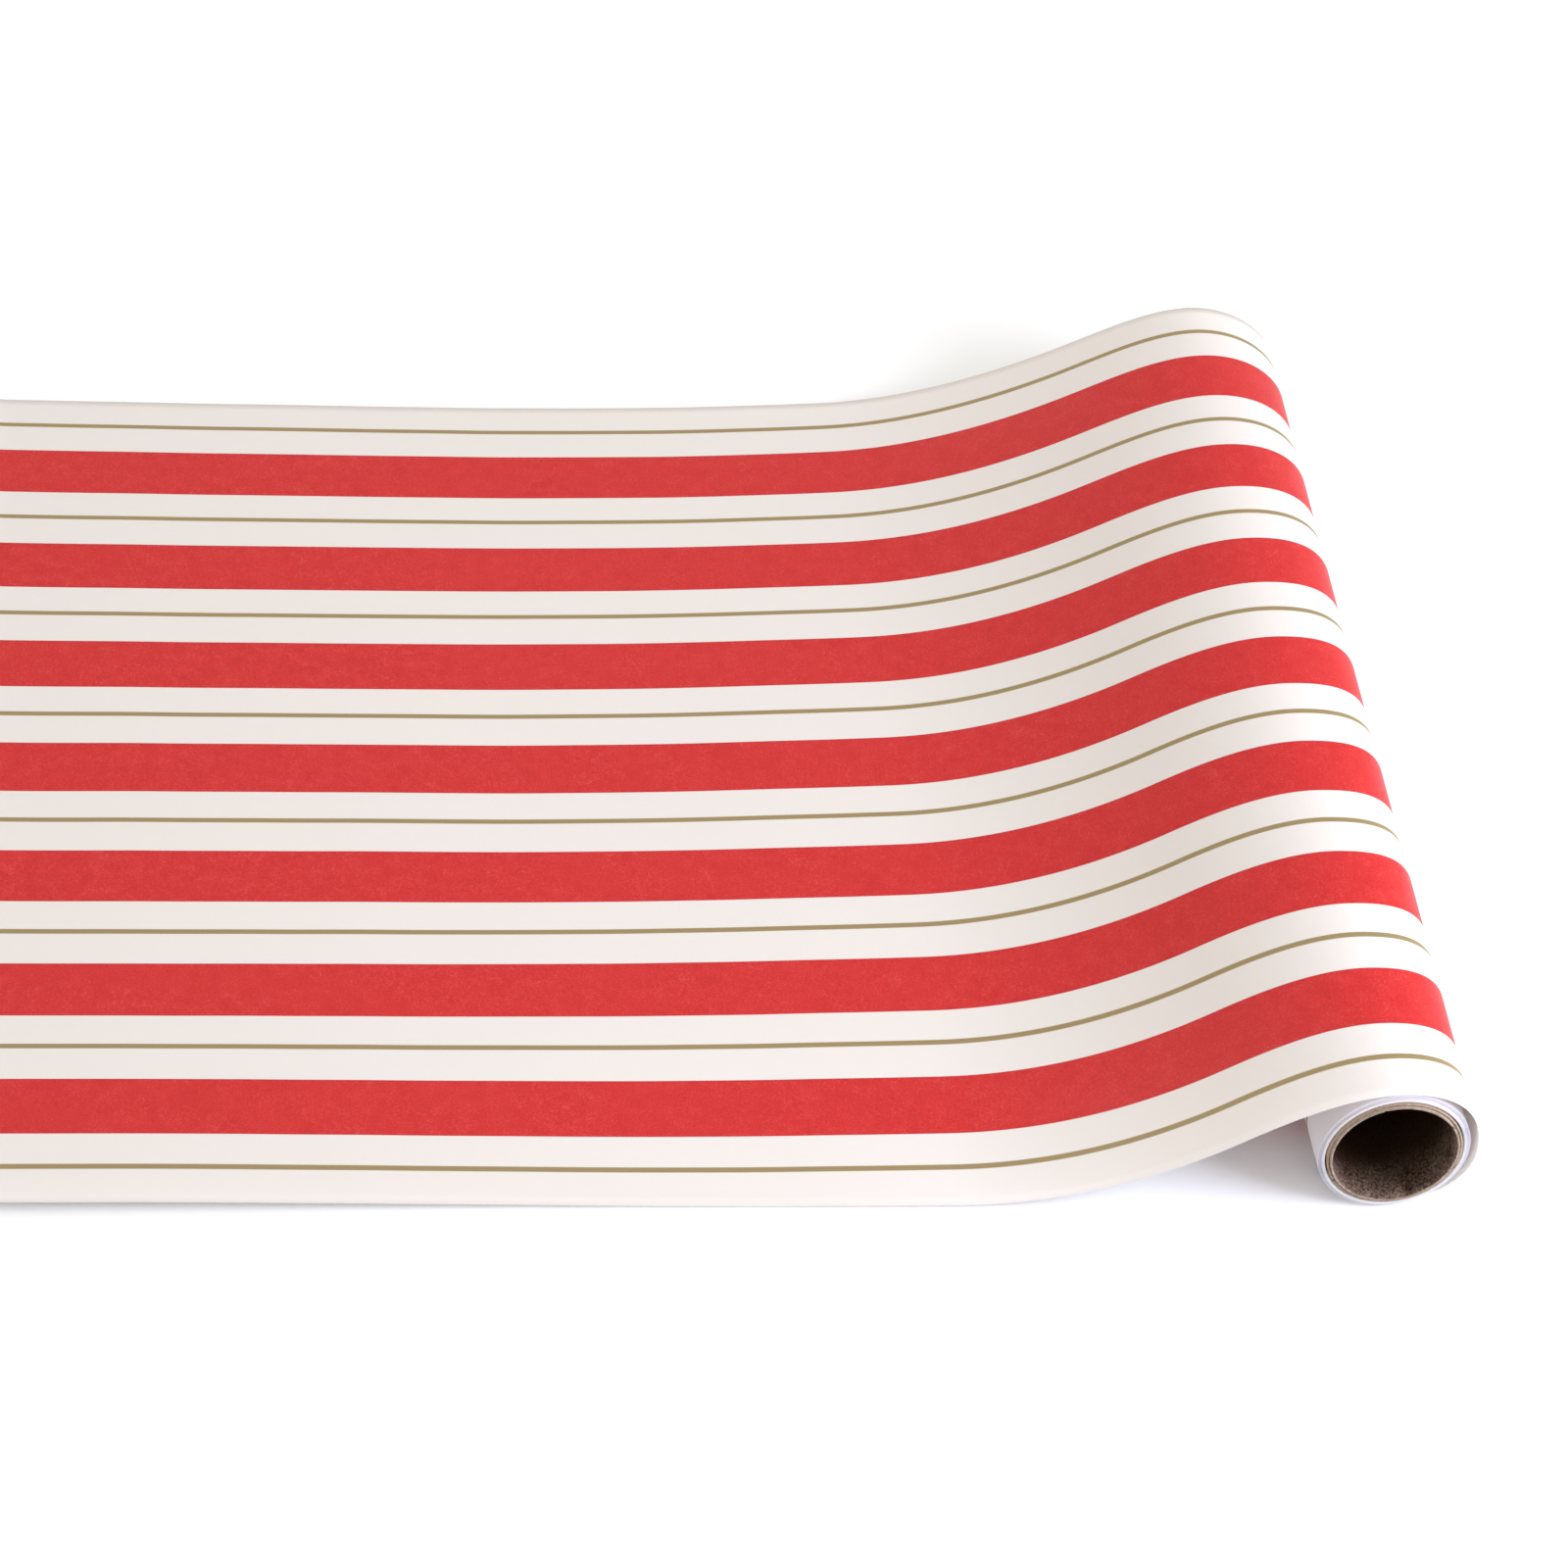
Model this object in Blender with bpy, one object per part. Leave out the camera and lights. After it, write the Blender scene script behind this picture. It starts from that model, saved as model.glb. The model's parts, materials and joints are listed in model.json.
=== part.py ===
"""A roll of striped gift wrap lying on a table, with a length of paper pulled off the top of the roll.

Metres, +Z up, table at Z = 0. The sheet runs towards -X, the roll turns about an axis along Y, and the
origin is under the middle of the whole object. The paper is one web: the wound part turns with the
cardboard core, the loose outermost lap and the pulled-out length stay where they lie.
"""

import math

import bmesh
import bpy
from mathutils import Vector

# The paper web
SHEET_WIDTH = 0.508
SHEET_THICKNESS = 0.0002
GAP = 0.0003  # kept between neighbouring pieces

# The roll, from the middle outwards
CORE_BORE_RADIUS = 0.0244
CORE_PLY = 0.00085
CORE_LENGTH = 0.516
TAPE_THICKNESS = 0.0002
TAPE_WIDTH = 0.019
TAPE_LENGTH = 0.060
INNER_WRAPS = 0.0013  # radial depth of the wraps that lie furthest out along the core
OUTER_WRAPS = 0.0011
INNER_WRAPS_DRIFT = 0.003  # how far each group of wraps has slid along the core, towards -Y
OUTER_WRAPS_DRIFT = 0.002

# The free paper, measured from the roll's axis. The lap is tight on the roll at the near edge and
# loose at the far edge, so each triple holds its value at the near edge, the middle and the far edge.
PULLED_REACH = 0.572
RISE_START = -0.350  # the paper lies flat as far as here
FOOT_X = -0.165
FOOT_HEIGHT = (0.0006, 0.0058, 0.0064)
FOOT_SLOPE = (0.009, 0.058, 0.071)
HIP_X = -0.060
HIP_HEIGHT = (0.0351, 0.0406, 0.0383)
HIP_SLOPE = (0.673, 0.621, 0.502)
CREST_HEIGHT = (0.0602, 0.0641, 0.0646)  # right over the axis
CREST_SLOPE = (0.008, 0.027, 0.133)
LAP_REACH = (0.0326, 0.0383, 0.0480)  # how far the lap stands out beyond the axis
SHOULDER_ACROSS = (0.60, 0.62, 0.50)  # how square the lap's shoulder is, as shares of its sides
SHOULDER_UP = (0.72, 0.80, 0.59)
QUARTER_ROUND = 0.5523  # handle length that makes a cubic follow a quarter of a circle
LAP_TUCK = 0.006  # flat end of the lap, trapped under the roll

STATIONS = 10  # cross-sections of the paper along Y
RISE_STEPS = 34
LAP_STEPS = 14
ROUND_STEPS = 96

# Worked out from the above
CORE_MID_RADIUS = CORE_BORE_RADIUS + CORE_PLY
CORE_OUTER_RADIUS = CORE_MID_RADIUS + GAP + CORE_PLY
TAPE_RADIUS = CORE_OUTER_RADIUS + GAP
WRAP_BORE_RADIUS = TAPE_RADIUS + TAPE_THICKNESS + GAP
WRAP_STEP_RADIUS = WRAP_BORE_RADIUS + INNER_WRAPS
ROLL_RADIUS = WRAP_STEP_RADIUS + OUTER_WRAPS
ROLL_X = (PULLED_REACH - LAP_REACH[-1]) / 2
ROLL_Z = SHEET_THICKNESS + GAP + ROLL_RADIUS


def clear_scene():
    for obj in list(bpy.data.objects):
        bpy.data.objects.remove(obj)


def make_material(name, colour, roughness):
    material = bpy.data.materials.new(name)
    material.use_nodes = True
    shader = material.node_tree.nodes["Principled BSDF"]
    shader.inputs["Base Color"].default_value = (*colour, 1)
    shader.inputs["Roughness"].default_value = roughness
    shader.inputs["Metallic"].default_value = 0
    return material


def make_object(name, bm, material, parent=None):
    bmesh.ops.recalc_face_normals(bm, faces=bm.faces)
    mesh = bpy.data.meshes.new(name)
    bm.to_mesh(mesh)
    bm.free()
    mesh.shade_smooth()
    mesh.set_sharp_from_angle(angle=math.radians(40))
    mesh.materials.append(material)
    obj = bpy.data.objects.new(name, mesh)
    obj.parent = parent
    bpy.context.scene.collection.objects.link(obj)
    return obj


def make_axis(name, location):
    """The empty that a moving body hangs on, at its joint."""
    axis = bpy.data.objects.new(name, None)
    axis.location = location
    bpy.context.scene.collection.objects.link(axis)
    return axis


def turned(profile, angle=math.tau):
    """A closed outline of (radius, y) points turned about the Y axis."""
    bm = bmesh.new()
    verts = [bm.verts.new((radius, y, 0)) for radius, y in profile]
    edges = [bm.edges.new((a, b)) for a, b in zip(verts, verts[1:] + verts[:1])]
    whole = angle == math.tau
    geom = edges if whole else verts + edges + [bm.faces.new(verts)]
    steps = ROUND_STEPS if whole else max(4, round(ROUND_STEPS * angle / math.tau))
    bmesh.ops.spin(
        bm, geom=geom, cent=(0, 0, 0), axis=(0, 1, 0), steps=steps, angle=angle, use_merge=whole
    )
    return bm


def tube_profile(inner, outer, low, high):
    return [(inner, low), (outer, low), (outer, high), (inner, high)]


def make_core(axis):
    """Two plies of chipboard, one inside the other, longer than the paper is wide."""
    half = CORE_LENGTH / 2
    board = make_material("chipboard", (0.42, 0.33, 0.25), 0.85)
    liner = make_material("chipboard_liner", (0.50, 0.42, 0.33), 0.8)
    inner = tube_profile(CORE_BORE_RADIUS, CORE_MID_RADIUS, -half, half)
    outer = tube_profile(CORE_MID_RADIUS + GAP, CORE_OUTER_RADIUS, -half, half)
    make_object("core_inner_ply", turned(inner), board, axis)
    make_object("core_outer_ply", turned(outer), liner, axis)


def make_starter_tape(axis):
    """The strip that holds the first wrap to the core, midway along it."""
    half = TAPE_LENGTH / 2
    profile = tube_profile(TAPE_RADIUS, TAPE_RADIUS + TAPE_THICKNESS, -half, half)
    clear = make_material("clear_tape", (0.75, 0.72, 0.62), 0.25)
    make_object("starter_tape", turned(profile, TAPE_WIDTH / TAPE_RADIUS), clear, axis)


def make_wound_paper(axis):
    """The wound web. Its inner wraps have slid a little further along the core than its outer ones."""
    half = SHEET_WIDTH / 2
    profile = [
        (WRAP_BORE_RADIUS, -half - INNER_WRAPS_DRIFT),
        (WRAP_STEP_RADIUS, -half - INNER_WRAPS_DRIFT),
        (WRAP_STEP_RADIUS, -half - OUTER_WRAPS_DRIFT),
        (ROLL_RADIUS, -half - OUTER_WRAPS_DRIFT),
        (ROLL_RADIUS, half - OUTER_WRAPS_DRIFT),
        (WRAP_STEP_RADIUS, half - OUTER_WRAPS_DRIFT),
        (WRAP_STEP_RADIUS, half - INNER_WRAPS_DRIFT),
        (WRAP_BORE_RADIUS, half - INNER_WRAPS_DRIFT),
    ]
    paper = make_material("wound_paper", (0.85, 0.83, 0.80), 0.6)
    make_object("wound_paper", turned(profile), paper, axis)


def across(triple, y):
    """A smooth curve along Y through the values at the near edge, the middle and the far edge."""
    near, middle, far = triple
    u = y / (SHEET_WIDTH / 2)
    return middle + (far - near) / 2 * u + ((far + near) / 2 - middle) * u * u


def rise_height(x, y):
    """Height of the printed side above its flat level, on a smooth curve through three knots."""
    knots = [
        (RISE_START, 0, 0),
        (FOOT_X, across(FOOT_HEIGHT, y), across(FOOT_SLOPE, y)),
        (HIP_X, across(HIP_HEIGHT, y), across(HIP_SLOPE, y)),
        (0, across(CREST_HEIGHT, y), across(CREST_SLOPE, y)),
    ]
    if x <= RISE_START:
        return 0
    for (x0, z0, slope0), (x1, z1, slope1) in zip(knots, knots[1:]):
        if x <= x1:
            break
    span = x1 - x0
    t = (x - x0) / span
    fall = 2 * t**3 - 3 * t**2 + 1
    return (
        fall * z0
        + (1 - fall) * z1
        + span * slope0 * (t**3 - 2 * t**2 + t)
        + span * slope1 * (t**3 - t**2)
    )


def pulled_profile(y):
    """The printed side from the free end to the top of the roll."""
    end = -GAP / 2
    xs = [-PULLED_REACH, (RISE_START - PULLED_REACH) / 2]
    xs += [RISE_START + (end - RISE_START) * i / RISE_STEPS for i in range(RISE_STEPS + 1)]
    top = across(CREST_HEIGHT, y)
    flat = SHEET_THICKNESS
    return [(x, flat + rise_height(x, y) * (top - flat) / top) for x in xs]


def cubic(a, b, c, d, t):
    s = 1 - t
    return a * s**3 + b * 3 * s * s * t + c * 3 * s * t * t + d * t**3


def lap_profile(y):
    """The printed side from the top of the roll, round its far side and under it."""
    reach = across(LAP_REACH, y)
    top = Vector((0, across(CREST_HEIGHT, y)))
    side = Vector((reach, ROLL_Z))
    bottom = Vector((0, 0))
    leaving = Vector((1, across(CREST_SLOPE, y))) * reach * across(SHOULDER_ACROSS, y)
    arriving = Vector((0, top.y - side.y)) * across(SHOULDER_UP, y)
    falling = Vector((0, -side.y)) * QUARTER_ROUND
    tucking = Vector((reach, 0)) * QUARTER_ROUND
    steps = [i / LAP_STEPS for i in range(LAP_STEPS + 1)]
    points = [cubic(top, top + leaving, side + arriving, side, t) for t in steps]
    points[0] = top + Vector((GAP / 2, 0))
    points += [cubic(side, side + falling, bottom + tucking, bottom, t) for t in steps[1:]]
    return [(p.x, p.y) for p in points] + [(-LAP_TUCK, 0)]


def paper_between(profile_at):
    """A sheet of paper through the profile's cross-sections along Y, printed side outwards."""
    bm = bmesh.new()
    half = SHEET_WIDTH / 2
    rows = []
    for i in range(STATIONS):
        y = half * (2 * i / (STATIONS - 1) - 1)
        rows.append([bm.verts.new((ROLL_X + x, y, z)) for x, z in profile_at(y)])
    for row, following in zip(rows, rows[1:]):
        for i in range(len(row) - 1):
            bm.faces.new((row[i], row[i + 1], following[i + 1], following[i]))
    return bm


def make_free_paper():
    """The pulled-out length and the outermost lap: one web, in two solids that part at the top."""
    paper = make_material("printed_paper", (0.85, 0.80, 0.75), 0.5)
    for name, profile_at in (("pulled_sheet", pulled_profile), ("outer_lap", lap_profile)):
        obj = make_object(name, paper_between(profile_at), paper)
        wall = obj.modifiers.new("paper", "SOLIDIFY")
        wall.thickness = SHEET_THICKNESS
        wall.offset = -1
        wall.use_even_offset = True


def main():
    clear_scene()
    axis = make_axis("roll_axis", (ROLL_X, 0, ROLL_Z))
    make_core(axis)
    make_starter_tape(axis)
    make_wound_paper(axis)
    make_free_paper()


main()
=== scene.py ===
import json
import math

import bmesh
import bpy
from mathutils import Matrix, Vector, noise


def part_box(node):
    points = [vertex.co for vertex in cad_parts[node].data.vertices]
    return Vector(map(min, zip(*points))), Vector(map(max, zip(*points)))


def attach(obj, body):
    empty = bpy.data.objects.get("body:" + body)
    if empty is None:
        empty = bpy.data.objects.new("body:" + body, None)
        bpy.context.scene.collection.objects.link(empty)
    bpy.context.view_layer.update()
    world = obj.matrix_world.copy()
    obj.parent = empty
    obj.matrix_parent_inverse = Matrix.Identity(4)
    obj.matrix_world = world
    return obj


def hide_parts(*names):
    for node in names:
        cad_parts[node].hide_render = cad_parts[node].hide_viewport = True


# A roll of striped gift wrap on a cardboard core, with a length of paper pulled off the top of the
# roll and lying flat. Metres, +Z up. The paper runs towards -X, and its near edge and the roll's near
# end are the ones on the -Y side.

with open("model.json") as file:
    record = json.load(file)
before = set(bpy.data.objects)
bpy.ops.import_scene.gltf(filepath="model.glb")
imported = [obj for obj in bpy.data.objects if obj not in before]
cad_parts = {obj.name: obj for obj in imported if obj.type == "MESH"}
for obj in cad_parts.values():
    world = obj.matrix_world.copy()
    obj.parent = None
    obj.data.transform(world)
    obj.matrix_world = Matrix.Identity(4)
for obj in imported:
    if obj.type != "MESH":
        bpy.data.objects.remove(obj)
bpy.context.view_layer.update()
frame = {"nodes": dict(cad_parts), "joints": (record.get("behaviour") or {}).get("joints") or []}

# The roll turns about an axis along Y, through this point
axisPoint = Vector(frame["joints"][0]["pos_m"])
sheetLow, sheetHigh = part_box("pulled_sheet")
woundLow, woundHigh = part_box("wound_paper")
halfWidth = sheetHigh.y
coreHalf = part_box("core_inner_ply")[1].y
print("frame loaded:", ", ".join(sorted(frame["nodes"])))


def smoothStep(low, high, value):
    t = min(1, max(0, (value - low) / (high - low)))
    return t * t * (3 - 2 * t)


def between(low, high, share):
    return low + (high - low) * share


# Camera

camera = {
    "place": (-0.4917, -1.4775, 1.2691),  # from the foot of the roll's axis
    "pan": 10.971,  # degrees, to the right
    "tilt": 40.296,  # down
    "roll": 7.495,
    "lens": 107.05,
    "sensor": 36,
    "clip": (0.05, 100),
}


def makeCamera(settings):
    data = bpy.data.cameras.new("camera")
    data.lens = settings["lens"]
    data.sensor_width = settings["sensor"]
    data.clip_start, data.clip_end = settings["clip"]
    place = Vector((axisPoint.x, 0, 0)) + Vector(settings["place"])
    pan = Matrix.Rotation(-math.radians(settings["pan"]), 4, "Z")
    tilt = Matrix.Rotation(math.radians(90 - settings["tilt"]), 4, "X")
    roll = Matrix.Rotation(math.radians(settings["roll"]), 4, "Z")
    obj = bpy.data.objects.new("camera", data)
    obj.matrix_world = Matrix.Translation(place) @ pan @ tilt @ roll
    bpy.context.scene.collection.objects.link(obj)
    bpy.context.scene.camera = obj


makeCamera(camera)
print("camera placed")


# Shader maths: a Python expression on values adds its Math nodes


class Value:
    def __init__(self, shader, socket):
        self.shader = shader
        self.socket = socket

    def maths(self, operation, *operands):
        values = dict(enumerate(operands or (self,)))
        return self.shader.node("ShaderNodeMath", {"operation": operation}, values)

    def __add__(self, other):
        return self.maths("ADD", self, other)

    def __radd__(self, other):
        return self.maths("ADD", other, self)

    def __sub__(self, other):
        return self.maths("SUBTRACT", self, other)

    def __rsub__(self, other):
        return self.maths("SUBTRACT", other, self)

    def __mul__(self, other):
        return self.maths("MULTIPLY", self, other)

    def __rmul__(self, other):
        return self.maths("MULTIPLY", other, self)

    def __truediv__(self, other):
        return self.maths("DIVIDE", self, other)

    def __gt__(self, other):
        return self.maths("GREATER_THAN", self, other)

    def __lt__(self, other):
        return self.maths("LESS_THAN", self, other)


class Shader:
    def __init__(self, name):
        self.material = bpy.data.materials.new(name)
        self.material.use_nodes = True
        self.tree = self.material.node_tree
        self.surface = self.tree.nodes["Principled BSDF"]
        self.place = self.node("ShaderNodeTexCoord", output="Object")

    # Settings are set first; then each socket takes a number, a colour or a link
    def node(self, kind, settings=None, values=None, output=0):
        made = self.tree.nodes.new(kind)
        for name, setting in (settings or {}).items():
            setattr(made, name, setting)
        for name, value in (values or {}).items():
            self.feed(made.inputs[name], value)
        return Value(self, made.outputs[output])

    def feed(self, socket, value):
        if isinstance(value, Value):
            self.tree.links.new(value.socket, socket)
        elif socket.type == "RGBA":
            socket.default_value = (*value, 1)
        else:
            socket.default_value = value

    def set(self, **values):
        for name, value in values.items():
            self.feed(self.surface.inputs[name.replace("_", " ")], value)

    def axes(self, vector):
        parts = self.node("ShaderNodeSeparateXYZ", values={"Vector": vector})
        return [Value(self, output) for output in parts.socket.node.outputs]

    def stretched(self, scale):
        return self.node("ShaderNodeMapping", values={"Vector": self.place, "Scale": scale})

    def noise(self, scale, detail=3, roughness=0.5, vector=None):
        values = {"Scale": scale, "Detail": detail, "Roughness": roughness}
        return self.node("ShaderNodeTexNoise", values={"Vector": vector or self.place, **values})

    def smooth(self, value, low, high):
        settings = {"interpolation_type": "SMOOTHSTEP", "clamp": True}
        values = {"Value": value, "From Min": low, "From Max": high}
        return self.node("ShaderNodeMapRange", settings, values)

    def mix(self, factor, first, second):
        values = {"Factor": factor, 6: first, 7: second}
        return self.node("ShaderNodeMix", {"data_type": "RGBA"}, values, output=2)

    def bump(self, height, distance, strength):
        values = {"Height": height, "Distance": distance, "Strength": strength}
        return self.node("ShaderNodeBump", values=values)

    # Thin paper lets some of the light behind it through
    def letLightThrough(self, share, colour):
        through = self.node("ShaderNodeBsdfTranslucent", values={"Color": colour})
        ends = {0: share, 1: Value(self, self.surface.outputs[0]), 2: through}
        both = self.node("ShaderNodeMixShader", values=ends)
        self.tree.links.new(both.socket, self.tree.nodes["Material Output"].inputs["Surface"])


# Finishes

printing = {
    "margin": 0.0188,  # from the paper's edge to the first gold line
    "repeat": 0.0672,
    "repeats": 7,
    # Shares of the repeat
    "goldHalf": 0.0201,
    "red": (0.264, 0.720),
    "soft": 0.0035,
    "rim": 0.011,  # the ink lies thicker along a band's edges
    # Colours
    "stock": (0.847, 0.808, 0.788),
    "stockDeep": (0.824, 0.774, 0.738),
    "redInk": (0.640, 0.0080, 0.0110),
    "redDeep": (0.500, 0.0060, 0.0100),
    "redPale": (0.730, 0.0720, 0.0720),
    "goldInk": (0.330, 0.240, 0.085),
    "glow": 0.16,  # how much light comes through
    "glowTint": (0.94, 0.86, 0.80),
}


# Masks of the red bands, the thicker ink along their edges, and the gold lines
def stripes(shader, drift):
    y = shader.axes(shader.place)[1]
    repeat = (y + (halfWidth - printing["margin"] - drift)) / printing["repeat"]
    part = repeat.maths("FRACT")
    printed = (repeat > 0) * (repeat < printing["repeats"])
    low, high = printing["red"]
    soft, rim = printing["soft"], printing["rim"]

    def band(inset):
        rising = shader.smooth(part, low + inset - soft, low + inset + soft)
        return rising * (1 - shader.smooth(part, high - inset - soft, high - inset + soft))

    red = band(0) * printed
    fromLine = (repeat - repeat.maths("ROUND")).maths("ABSOLUTE")
    inSheet = (repeat > -0.5) * (repeat < printing["repeats"] + 0.5)
    half = printing["goldHalf"]
    gold = (1 - shader.smooth(fromLine, half - soft, half + soft)) * inSheet
    return red, red * (1 - band(rim)), gold


# shade multiplies the stock colours, for a copy of the print that carries painted shade
def printedPaper(name, drift=0.0, shade=(1, 1, 1)):
    shader = Shader(name)
    red, rim, gold = stripes(shader, drift)
    fine = shader.noise(1700, detail=3, roughness=0.65)
    grain = shader.noise(1250, detail=2, roughness=0.6)
    cloudy = shader.noise(150, detail=4, roughness=0.6)
    broad = shader.noise(17, detail=2)
    # The stock colours times shade: painted shade on the wound paper's copy
    pale, deep = ([c * s for c, s in zip(printing[tone], shade)] for tone in ("stock", "stockDeep"))
    stock = shader.mix(cloudy * 0.5 + broad * 0.3, pale, deep)
    mottle = grain * 0.74 + cloudy * 0.26
    ink = shader.mix(shader.smooth(mottle, 0.52, 0.65) * 0.75, printing["redInk"], printing["redPale"])
    ink = shader.mix(shader.smooth(mottle, 0.50, 0.36) * 0.8 + rim * 0.4, ink, printing["redDeep"])
    goldInk = shader.mix(fine * 0.12, printing["goldInk"], printing["stock"])
    colour = shader.mix(gold, shader.mix(red, stock, ink), goldInk)
    height = fine * 0.4 + grain * 0.3 + cloudy * 0.3 + red * 0.08 + gold * 0.2
    shader.set(
        Base_Color=colour,
        Roughness=0.52 - red * 0.05 - gold * 0.14 + (fine - 0.5) * 0.12,
        Metallic=gold * 0.35,
        Normal=shader.bump(height, 0.00004, 0.6),
        Specular_IOR_Level=0.26,
    )
    shader.letLightThrough(printing["glow"], printing["glowTint"])
    return shader.material


backPaper = {
    "stock": (0.86, 0.845, 0.825),
    "stockDeep": (0.81, 0.79, 0.77),
    "redShows": 0.16,  # the print shows faintly through the paper
    "redShadow": (0.76, 0.40, 0.37),
    "goldShows": 0.10,
    "goldShadow": (0.55, 0.50, 0.40),
    "glow": 0.30,
    "glowTint": (0.95, 0.90, 0.86),
}


def paperBack(own):
    shader = Shader("paperBack")
    red, _, gold = stripes(shader, 0.0)
    fine = shader.noise(1500, detail=3, roughness=0.6)
    cloudy = shader.noise(180, detail=4, roughness=0.6)
    plain = shader.mix(cloudy, own["stock"], own["stockDeep"])
    shadow = shader.mix(red * own["redShows"], plain, own["redShadow"])
    shader.set(
        Base_Color=shader.mix(gold * own["goldShows"], shadow, own["goldShadow"]),
        Roughness=0.74 + (fine - 0.5) * 0.1,
        Normal=shader.bump(fine * 0.6 + cloudy * 0.4, 0.00005, 0.7),
        Specular_IOR_Level=0.28,
    )
    shader.letLightThrough(own["glow"], own["glowTint"])
    return shader.material


# Cut edges: white in the wraps next to the core; the outer wraps carry painted shade, darker and lilac
cutPaper = {
    "white": (0.84, 0.83, 0.85),
    "whiteDeep": (0.70, 0.69, 0.71),
    "shadedLilac": (0.66, 0.67, 0.77),
    "shadedLilacDeep": (0.54, 0.55, 0.66),
    "blend": 0.0002,  # on each side of the radius where the one gives way to the other
}


def paperEdge(own, stepRadius):
    shader = Shader("paperEdge")
    x, _, z = shader.axes(shader.place)
    sideways, upwards = x - axisPoint.x, z - axisPoint.z
    fromAxis = (sideways * sideways + upwards * upwards).maths("SQRT")
    # The outer wraps take the painted shade
    outer = shader.smooth(fromAxis, stepRadius - own["blend"], stepRadius + own["blend"])
    fine = shader.noise(2800, detail=3, roughness=0.7)
    white = shader.mix(fine, own["white"], own["whiteDeep"])
    shadedLilac = shader.mix(fine, own["shadedLilac"], own["shadedLilacDeep"])
    shader.set(
        Base_Color=shader.mix(outer, white, shadedLilac),
        Roughness=0.8,
        Normal=shader.bump(fine, 0.00004, 0.8),
        Specular_IOR_Level=0.3,
    )
    return shader.material


# Chipboard of the core: its bore, the side towards the paper, and the cut ends
boards = {
    # The bore's dark, which its colour fades to deep inside, is painted shade
    "inside": {
        "pale": (0.300, 0.212, 0.168),
        "dark": (0.026, 0.0110, 0.0045),
        "fleck": (0.30, 0.23, 0.185),
        "depth": 0.00012,
        "paintedFalloff": 0.94,  # share of the colour that takes painted light at the cut ends and painted shade deep in the bore
    },
    "liner": {
        "pale": (0.46, 0.36, 0.28),
        "dark": (0.33, 0.25, 0.185),
        "fleck": (0.55, 0.46, 0.38),
        "depth": 0.00012,
        "paintedFalloff": 0.0,
    },
    "cut": {
        "pale": (0.40, 0.31, 0.255),
        "dark": (0.20, 0.145, 0.11),
        "fleck": (0.56, 0.47, 0.40),
        "depth": 0.00008,
        "paintedFalloff": 0.0,
    },
}
boreLightReach = 0.026  # how far into the bore the painted light near the cut ends reaches; deeper in is painted shade


def chipboard(name, own):
    shader = Shader(name)
    fromEnd = coreHalf - shader.axes(shader.place)[1].maths("ABSOLUTE")
    fibre = shader.noise(1000, detail=5, roughness=0.7, vector=shader.stretched((1, 0.7, 1)))
    blotch = shader.noise(60, detail=4, roughness=0.6)
    speck = shader.smooth(shader.noise(620, detail=3, roughness=0.8), 0.58, 0.70)
    pit = shader.smooth(shader.noise(800, detail=2, roughness=0.8), 0.62, 0.74)
    # Painted light near the cut ends and painted shade deep inside: the fibre colour fades from pale to near
    # black into the bore
    paintedBoreLight = (1 - shader.smooth(fromEnd, 0.0, boreLightReach)) * own["paintedFalloff"] + (1 - own["paintedFalloff"])
    mixed = shader.smooth(fibre * 0.7 + blotch * 0.3, 0.36, 0.70) * paintedBoreLight
    colour = shader.mix(speck * paintedBoreLight * 0.5, shader.mix(mixed, own["dark"], own["pale"]), own["fleck"])
    pitted = [c * 0.4 for c in own["dark"]]
    shader.set(
        Base_Color=shader.mix(pit * 0.6, colour, pitted),
        Roughness=0.88 + (fibre - 0.5) * 0.12,
        Normal=shader.bump(fibre + speck * 0.3 - pit * 0.3, own["depth"], 0.8),
        Specular_IOR_Level=0.05,
    )
    return shader.material


tapeColours = {"clear": (0.72, 0.68, 0.55), "creased": (0.62, 0.57, 0.44)}


def clearTape(own):
    shader = Shader("clearTape")
    crease = shader.noise(240, detail=3, vector=shader.stretched((1, 6, 1)))
    shader.set(
        Base_Color=shader.mix(crease, own["clear"], own["creased"]),
        Roughness=0.22 + crease * 0.15,
        Normal=shader.bump(crease, 0.00006, 0.5),
    )
    return shader.material


# A little blue, which evens out the warm light around it
floorColours = {"pale": (0.960, 0.975, 0.998), "deep": (0.955, 0.970, 0.992)}


def paleFloor(own):
    shader = Shader("paleFloor")
    cloud = shader.noise(3, detail=2)
    shader.set(
        Base_Color=shader.mix(cloud, own["pale"], own["deep"]),
        Roughness=0.9,
        Specular_IOR_Level=0.1,
    )
    return shader.material


# The wound paper: one long spiral, whose inner turns have slid further out along the core

woundPaper = {
    "turns": 24,
    "steps": 72,  # columns in a turn
    "start": 0.0270,  # radius of the first turn
    "thickness": 0.000082,
    "loosened": 0.0002,  # the last turn stands this far out
    "innerDrift": -0.0030,
    "outerDrift": -0.0020,
    "stepTurn": 11,  # where the inner group of turns ends
    "stepOver": 0.3,  # turns, before and after
    "sunk": 0.0012,  # the turns on the core are pulled in a little
    "sunkTurns": (0.8, 2.6),  # from the one to the other that fades
    "wobble": 0.00022,
    "wobblePace": 1.7,  # in a turn
    "printDrift": 0.0010,
    # Painted shade: the wound paper's print is darker and lilac, as its flank lies in shade under the free
    # sheet
    "paintedShade": (0.84, 0.80, 0.84),
}
woundRadius = (woundHigh.z - woundLow.z) / 2 + woundPaper["loosened"]


def turnRadius(turn):
    return between(woundPaper["start"], woundRadius, turn / woundPaper["turns"])


def turnDrift(turn):
    own = woundPaper
    group = smoothStep(own["stepTurn"] - own["stepOver"], own["stepTurn"] + own["stepOver"], turn)
    sunk = own["sunk"] * (1 - smoothStep(*own["sunkTurns"], turn))
    wobble = own["wobble"] * noise.noise(Vector((turn * own["wobblePace"], 2.0, 5.0)))
    return between(own["innerDrift"], own["outerDrift"], group) + sunk + wobble


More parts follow.
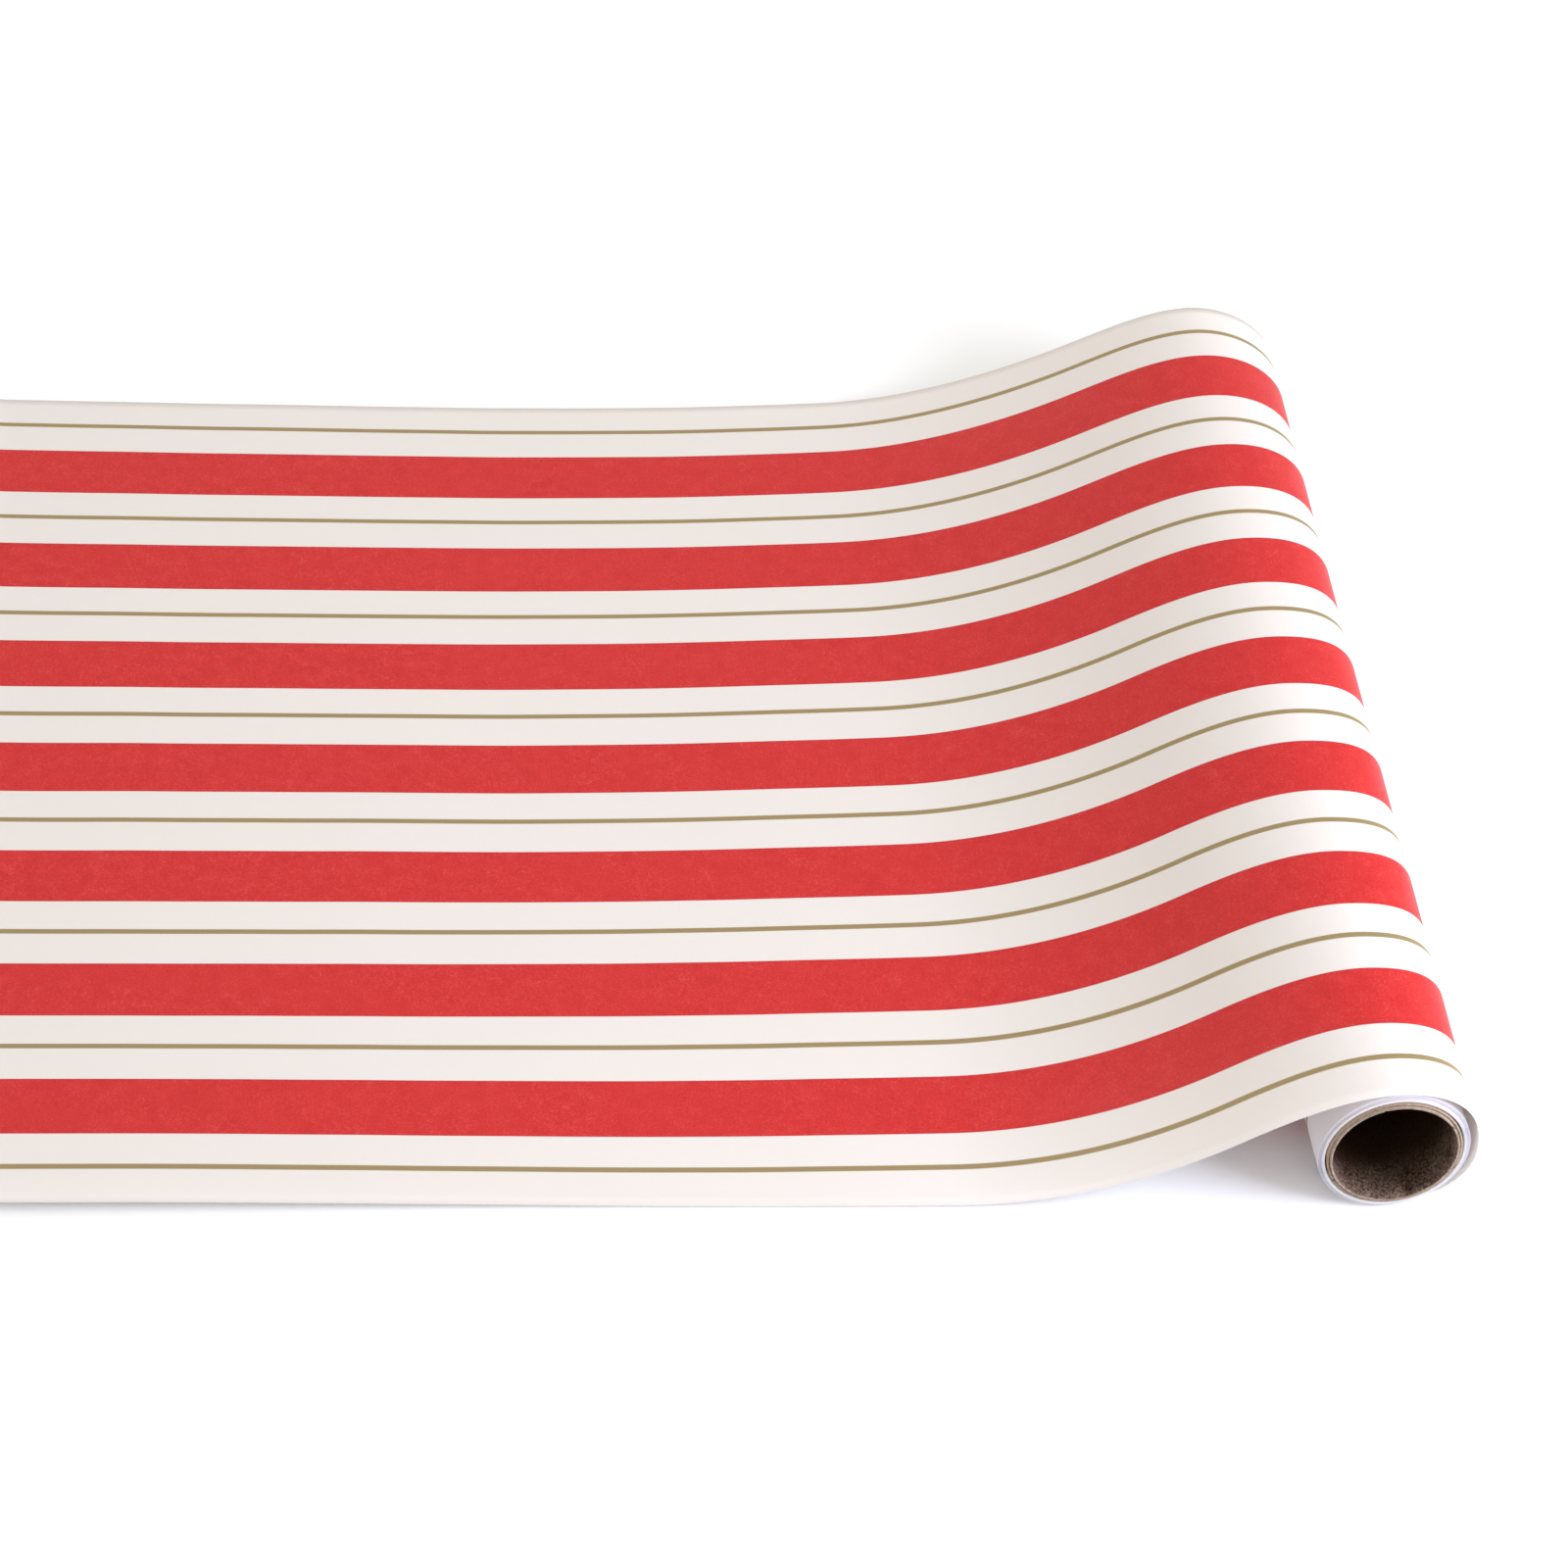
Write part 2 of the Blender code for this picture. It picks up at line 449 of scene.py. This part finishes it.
finishes = {
    "printed": printedPaper("printedPaper"),
    "printedWoundShaded": printedPaper("printedPaperWoundShaded", woundPaper["printDrift"], woundPaper["paintedShade"]),
    "back": paperBack(backPaper),
    "edge": paperEdge(cutPaper, turnRadius(woundPaper["stepTurn"])),
    "inside": chipboard("chipboardInside", boards["inside"]),
    "liner": chipboard("chipboardLiner", boards["liner"]),
    "cut": chipboard("chipboardCut", boards["cut"]),
    "tape": clearTape(tapeColours),
    "floor": paleFloor(floorColours),
}
print("finishes made")


# Edges sharper than an angle in degrees stay crisp
def finishPiece(name, bm, materials, body, sharp):
    mesh = bpy.data.meshes.new(name)
    bm.to_mesh(mesh)
    bm.free()
    mesh.shade_smooth()
    mesh.set_sharp_from_angle(angle=math.radians(sharp))
    for material in materials:
        mesh.materials.append(material)
    obj = bpy.data.objects.new(name, mesh)
    bpy.context.scene.collection.objects.link(obj)
    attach(obj, body)
    return obj


# A wall on the side away from the normals, with its own finish on the back and the rim
def addWall(obj, thickness):
    wall = obj.modifiers.new("wall", "SOLIDIFY")
    wall.thickness = thickness
    wall.offset = -1
    wall.material_offset = 1
    wall.material_offset_rim = 2


def faceAwayFromAxis(bm):
    bmesh.ops.recalc_face_normals(bm, faces=bm.faces)
    if sum((f.calc_center_median() - axisPoint).dot(f.normal) for f in bm.faces) < 0:
        bmesh.ops.reverse_faces(bm, faces=bm.faces)


def makeWoundPaper(own):
    bm = bmesh.new()
    columns = own["turns"] * own["steps"]
    bmesh.ops.create_grid(bm, x_segments=columns, y_segments=2, size=1)
    for vert in bm.verts:
        turn = (vert.co.x + 1) / 2 * own["turns"]
        # The last turn ends at the bottom, where the free paper leaves the roll
        angle = math.tau * (turn - own["turns"]) + math.pi / 2
        outwards = Vector((-math.cos(angle), 0, -math.sin(angle)))
        y = vert.co.y * halfWidth + turnDrift(turn)
        vert.co = axisPoint + outwards * turnRadius(turn) + Vector((0, y, 0))
    faceAwayFromAxis(bm)
    materials = [finishes["printedWoundShaded"], finishes["back"], finishes["edge"]]
    obj = finishPiece("woundPaper", bm, materials, "roll", sharp=60)
    addWall(obj, own["thickness"])
    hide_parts("wound_paper")


makeWoundPaper(woundPaper)
print("wound paper made")


# The free paper: the pulled-out length, the rise to the top of the roll, and the outermost lap.
# Each triple holds its value at the near edge, the middle and the far edge.

freePaper = {
    "thickness": 0.00012,
    "bed": 0.0002,  # height of the printed side where the paper lies flat
    "columns": 330,
    "rows": 110,
    "riseStart": -0.350,  # from the roll's axis
    "footX": -0.165,
    "footHeight": (0.0006, 0.0058, 0.0064),
    "footSlope": (0.009, 0.058, 0.071),
    "hipX": -0.060,
    "hipHeight": (0.0351, 0.0406, 0.0383),
    "hipSlope": (0.673, 0.621, 0.502),
    "crestHeight": (0.0602, 0.0641, 0.0646),
    "crestSlope": (0.008, 0.027, 0.133),
    "lapReach": (0.0326, 0.0383, 0.0480),
    "shoulderAcross": (0.60, 0.62, 0.50),
    "shoulderUp": (0.72, 0.80, 0.59),
    "quarterRound": 0.5523,  # handle length that makes a cubic follow a quarter of a circle
    "tuck": 0.006,
    # Shares of the way along at which the rise, the lap, its lower half and its tucked end begin
    "shares": (0.30, 0.66, 0.83, 0.985),
    "wave": 0.0004,
    "waveFades": (-0.22, -0.06),  # from the roll's axis
    "cornerLift": 0.0046,  # the near corner of the free end is lifted a little
    "cornerAlong": (0.22, 0.52),
    "cornerAcross": 0.10,
    "endCurl": 0.0062,  # height of the free end, which curls up, still set from the roll
    "endCurlOver": 0.040,
    "skew": 0.002,  # the near edge runs out a little towards the roll, and more round its side
    "lapSkew": 0.001,
    "skewFrom": 0.6,  # share of the way to the near edge
}
reach = axisPoint.x - sheetLow.x  # from the axis to the free end


# A smooth curve along Y through the values at the near edge, the middle and the far edge
def across(name, y):
    near, middle, far = freePaper[name]
    u = y / halfWidth
    return middle + (far - near) / 2 * u + ((far + near) / 2 - middle) * u * u


# Height of the printed side on a smooth curve through knots of place, height and slope
def riseHeight(x, y):
    knots = [
        (freePaper["riseStart"], 0, 0),
        (freePaper["footX"], across("footHeight", y), across("footSlope", y)),
        (freePaper["hipX"], across("hipHeight", y), across("hipSlope", y)),
        (0, across("crestHeight", y), across("crestSlope", y)),
    ]
    if x <= freePaper["riseStart"]:
        return 0
    for (x0, z0, slope0), (x1, z1, slope1) in zip(knots, knots[1:]):
        if x <= x1:
            break
    span = x1 - x0
    t = (x - x0) / span
    fall = 2 * t**3 - 3 * t**2 + 1
    turn = slope0 * (t**3 - 2 * t**2 + t) + slope1 * (t**3 - t**2)
    return fall * z0 + (1 - fall) * z1 + span * turn


# How far the paper on the table rises above flat: a slight wave, a lifted corner and the curled end
def unevenness(x, y):
    own = freePaper
    ripple = noise.noise(Vector((x * 9, y * 5, 0.3))) + 0.4 * noise.noise(Vector((x * 26, y * 7, 4.1)))
    wave = own["wave"] * max(0, 0.6 + ripple) * (1 - smoothStep(*own["waveFades"], x))
    acrossCorner = smoothStep(own["cornerAcross"], halfWidth, -y)
    corner = own["cornerLift"] * smoothStep(*own["cornerAlong"], -x) * acrossCorner
    # The free end comes half way up a smooth step
    curl = 2 * own["endCurl"] * smoothStep(reach - own["endCurlOver"], reach + own["endCurlOver"], -x)
    return wave + corner + curl


def onRise(x, y):
    bed, crest = freePaper["bed"], across("crestHeight", y)
    return Vector((x, y, bed + riseHeight(x, y) * (crest - bed) / crest + unevenness(x, y)))


def cubic(a, b, c, d, t):
    s = 1 - t
    return a * s**3 + b * 3 * s * s * t + c * 3 * s * t * t + d * t**3


# The lap runs from the top of the roll to its far side, to its foot, and on underneath
def onLap(u, y):
    out, quarter = across("lapReach", y), freePaper["quarterRound"]
    top = Vector((0, y, across("crestHeight", y)))
    side, foot = Vector((out, y, axisPoint.z)), Vector((0, y, 0))
    if u <= 1:
        leaving = Vector((1, 0, across("crestSlope", y))) * out * across("shoulderAcross", y)
        arriving = Vector((0, 0, top.z - side.z)) * across("shoulderUp", y)
        return cubic(top, top + leaving, side + arriving, side, u)
    if u <= 2:
        falling, tucking = Vector((0, 0, -side.z)) * quarter, Vector((out, 0, 0)) * quarter
        return cubic(side, side + falling, foot + tucking, foot, u - 1)
    return foot - Vector((freePaper["tuck"] * (u - 2), 0, 0))


# u runs from 0 at the free end to 1 at the end under the roll
def onPaper(u, y):
    flat, crest, side, foot = freePaper["shares"]
    start = freePaper["riseStart"]
    skew = freePaper["skew"] * smoothStep(flat, crest, u) + freePaper["lapSkew"] * smoothStep(crest, side, u)
    y -= skew * (1 - smoothStep(side, foot, u)) * smoothStep(freePaper["skewFrom"], 1, -y / halfWidth)
    if u < flat:
        return onRise(between(-reach, start, u / flat), y)
    if u < crest:
        return onRise(between(start, 0, (u - flat) / (crest - flat)), y)
    if u < side:
        return onLap((u - crest) / (side - crest), y)
    if u < foot:
        return onLap(1 + (u - side) / (foot - side), y)
    return onLap(2 + (u - foot) / (1 - foot), y)


def makeFreePaper(own):
    bm = bmesh.new()
    bmesh.ops.create_grid(bm, x_segments=own["columns"], y_segments=own["rows"], size=1)
    for vert in bm.verts:
        vert.co = onPaper((vert.co.x + 1) / 2, vert.co.y * halfWidth)
        vert.co.x += axisPoint.x
    materials = [finishes["printed"], finishes["back"], finishes["edge"]]
    obj = finishPiece("freePaper", bm, materials, "web", sharp=35)
    addWall(obj, own["thickness"])
    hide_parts("pulled_sheet", "outer_lap")
    alongMiddle = [onPaper(i / own["columns"], 0) for i in range(own["columns"] + 1)]
    length = sum((b - a).length for a, b in zip(alongMiddle, alongMiddle[1:]))
    print("free paper made,", round(length, 4), "m long")


makeFreePaper(freePaper)


# The core: each ply is a strip of chipboard wound on a slant, its edges meeting in a spiral seam

core = {
    "ply": 0.00085,
    "pitch": 0.098,  # how far the seam moves along the core in a turn
    "seam": 0.0006,
    "steps": 72,  # columns in a turn
    "rows": 14,
    # Where each ply's seam starts, in radians, and how much shorter the ply is cut at each end
    "inner": {"seamAt": 0.6, "setBack": 0},
    "outer": {"seamAt": 3.7, "setBack": 0.0006},
    "fray": 0.00010,  # unevenness of the cut ends
    "frayScale": 14,
    # Small dents in the near end: where (degrees), half width (degrees) and depth
    "nicks": [
        (101, 2.0, 0.0004),
        (109, 1.4, 0.0003),
        (117, 1.8, 0.0002),
        (8, 1.2, 0.0003),
        (-62, 2.0, 0.0002),
    ],
}


# How far a cut end is worn in at an angle round it; the near end has the nicks
def cutDepth(angle, nearEnd):
    place = Vector((math.cos(angle), math.sin(angle), 1 if nearEnd else -1))
    depth = core["fray"] * (0.5 + noise.noise(place * core["frayScale"]))
    for where, half, deep in core["nicks"] if nearEnd else []:
        depth += deep * smoothStep(0, half, half - abs(math.degrees(angle) - where))
    return max(0, depth)


def makePly(name, node, material, own):
    nearly = 1e-5  # a point this near a cut lies on it
    low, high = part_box(node)
    radius = (high.z - low.z) / 2
    turns = (high.y - low.y) / core["pitch"] + 2
    bm = bmesh.new()
    columns = round(turns * core["steps"])
    bmesh.ops.create_grid(bm, x_segments=columns, y_segments=core["rows"], size=1)
    width = core["pitch"] - core["seam"]
    for vert in bm.verts:
        turn = (vert.co.x + 1) / 2 * turns
        angle = math.tau * turn + own["seamAt"]
        y = low.y + core["pitch"] * (turn - 1) + (vert.co.y - 1) / 2 * width
        vert.co = axisPoint + Vector((radius * math.cos(angle), y, radius * math.sin(angle)))
    ends = low.y + own["setBack"], high.y - own["setBack"]
    for end, outwards in zip(ends, (-1, 1)):
        bmesh.ops.bisect_plane(
            bm,
            geom=bm.verts[:] + bm.edges[:] + bm.faces[:],
            plane_co=(0, end, 0),
            plane_no=(0, outwards, 0),
            clear_outer=True,
        )
    for vert in bm.verts:
        angle = math.atan2(vert.co.z - axisPoint.z, vert.co.x - axisPoint.x)
        if vert.co.y < ends[0] + nearly:
            vert.co.y += cutDepth(angle, True)
        elif vert.co.y > ends[1] - nearly:
            vert.co.y -= cutDepth(angle, False)
    faceAwayFromAxis(bm)
    materials = [finishes["liner"], material, finishes["cut"]]
    obj = finishPiece(name, bm, materials, "roll", sharp=50)
    addWall(obj, core["ply"])
    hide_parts(node)


makePly("coreInnerPly", "core_inner_ply", finishes["inside"], core["inner"])
makePly("coreOuterPly", "core_outer_ply", finishes["liner"], core["outer"])
print("core made")


# The starter tape keeps its shape, with a better finish

tapeMaterials = frame["nodes"]["starter_tape"].data.materials
tapeMaterials.clear()
tapeMaterials.append(finishes["tape"])


# Floor and light

studio = {
    "floor": 12.0,
    "floorDrop": 0.0003,  # below the paper
    "world": 0.98,  # strength
    "worldColour": (1.0, 0.970, 0.920),
    "key": {"place": (1.0, -0.5, 0.46), "size": 0.65, "power": 12.4, "colour": (0.95, 1.0, 1.18)},
}


def makeFloor():
    bm = bmesh.new()
    bmesh.ops.create_grid(bm, x_segments=1, y_segments=1, size=studio["floor"])
    bmesh.ops.translate(bm, verts=bm.verts, vec=(0, 0, -studio["floorDrop"]))
    mesh = bpy.data.meshes.new("floor")
    bm.to_mesh(mesh)
    bm.free()
    mesh.materials.append(finishes["floor"])
    obj = bpy.data.objects.new("floor", mesh)
    bpy.context.scene.collection.objects.link(obj)


def makeLight(settings):
    data = bpy.data.lights.new("key", "AREA")
    data.size = settings["size"]
    data.energy = settings["power"]
    data.color = settings["colour"]
    place = Vector(settings["place"])
    obj = bpy.data.objects.new("key", data)
    turned = (-place).to_track_quat("-Z", "Y").to_matrix().to_4x4()
    obj.matrix_world = Matrix.Translation(place) @ turned
    bpy.context.scene.collection.objects.link(obj)


def makeWorld():
    world = bpy.data.worlds.new("studio")
    world.use_nodes = True
    background = world.node_tree.nodes["Background"]
    background.inputs["Color"].default_value = (*studio["worldColour"], 1)
    background.inputs["Strength"].default_value = studio["world"]
    bpy.context.scene.world = world
    bpy.context.scene.view_settings.view_transform = "Standard"


makeFloor()
makeLight(studio["key"])
makeWorld()
print("floor and light made")
